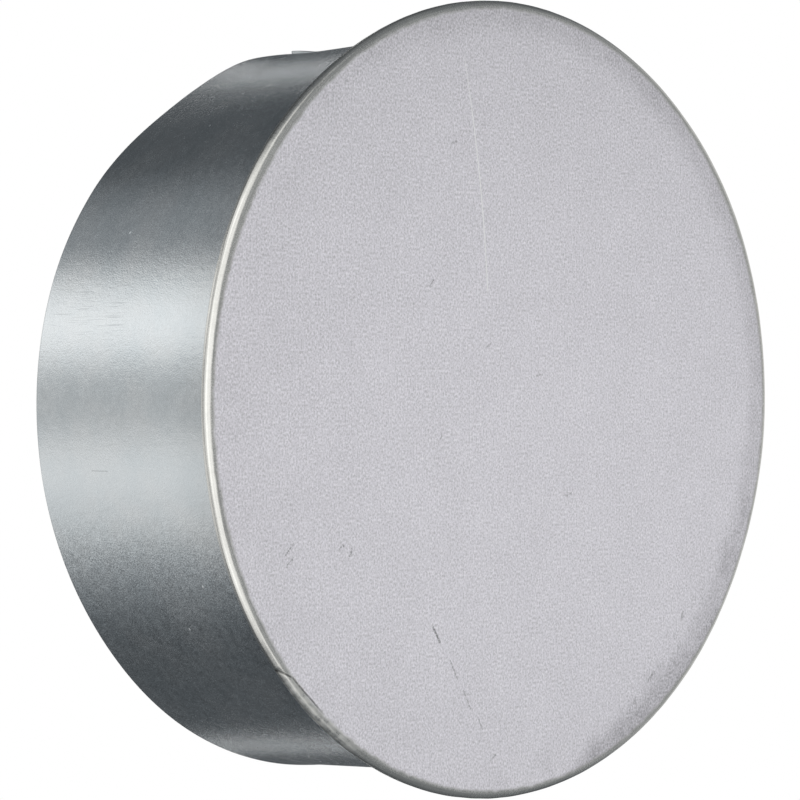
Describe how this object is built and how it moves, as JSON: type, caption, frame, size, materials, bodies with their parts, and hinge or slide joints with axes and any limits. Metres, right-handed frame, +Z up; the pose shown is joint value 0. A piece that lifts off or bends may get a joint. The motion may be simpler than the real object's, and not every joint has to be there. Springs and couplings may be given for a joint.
{
  "type": "pipe end cap",
  "caption": "Round sheet-steel end cap for a pipe or duct: a flat disc folded over the flange of a short rolled collar that slides into the pipe.",
  "frame": {"origin": "on the cap's axis, in the plane of the folded rim's back, where the pipe's end stops", "axes": "+Y along the axis out of the collar's open end, -Y out of the disc's front, +Z up through the middle of the collar's lap, +X to the right of someone facing the disc"},
  "size_m": [0.132, 0.0473, 0.132],
  "materials": {
    "disc_sheet": "galvanised, matte grey with a fine rolled grain",
    "collar_sheet": "galvanised, smooth blue-grey zinc with a fine spangle",
    "weld_metal": "bare resistance-welded steel, slightly dimpled"
  },
  "bodies": {
    "root": {"end_disc": "disc_sheet", "collar": "collar_sheet", "lap_spot_welds": "weld_metal"}
  },
  "joints": []
}
